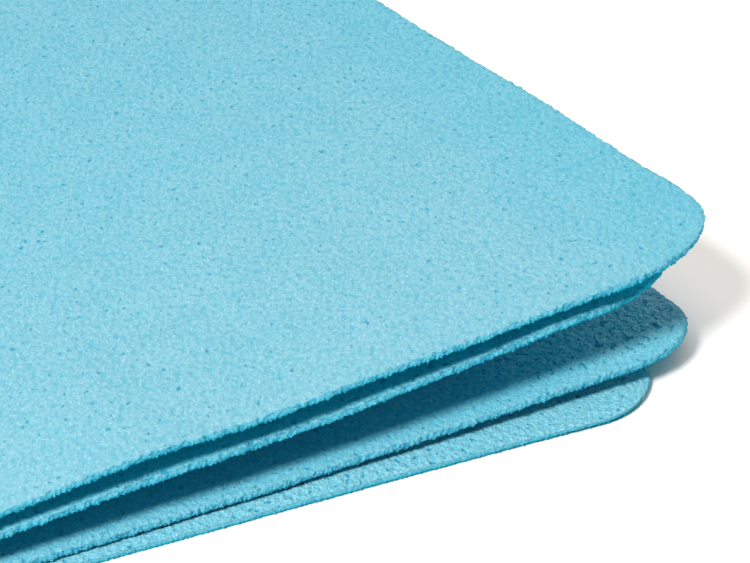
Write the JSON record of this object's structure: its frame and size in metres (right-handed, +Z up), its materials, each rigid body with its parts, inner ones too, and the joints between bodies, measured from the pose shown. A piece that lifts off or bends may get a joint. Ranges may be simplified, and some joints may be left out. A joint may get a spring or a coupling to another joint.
{
  "type": "glass cleaning cloth",
  "caption": "Thin porous cleaning cloth with round corners and plain cut edges, folded into a flat packet that opens like a book along its side fold.",
  "frame": {"origin": "on the surface that the packet lies on, under the middle of its box", "axes": "+X along the front edges, from the side fold to the open edges; +Y from the front edges to the back folds; +Z up"},
  "size_m": [0.2046, 0.18, 0.0148],
  "materials": {
    "cloth": "matt, fine grained porous microfibre, light blue through its thickness"
  },
  "bodies": {
    "lower_leaves": {"bottom_leaf": "cloth", "lower_inner_leaf": "cloth", "lower_back_fold": "cloth", "outer_side_fold": "cloth", "inner_side_fold": "cloth", "centre_fold": "cloth"},
    "upper_leaves": {"upper_inner_leaf": "cloth", "top_leaf": "cloth", "upper_back_fold": "cloth"}
  },
  "joints": [
    {"name": "side_fold_hinge", "type": "hinge", "parent": "lower_leaves", "child": "upper_leaves", "pos_m": [-0.10197, 0, 0.0025], "axis": [0, -1, 0], "range_deg": [0, 176], "deforming": ["outer_side_fold", "inner_side_fold", "centre_fold"]}
  ]
}
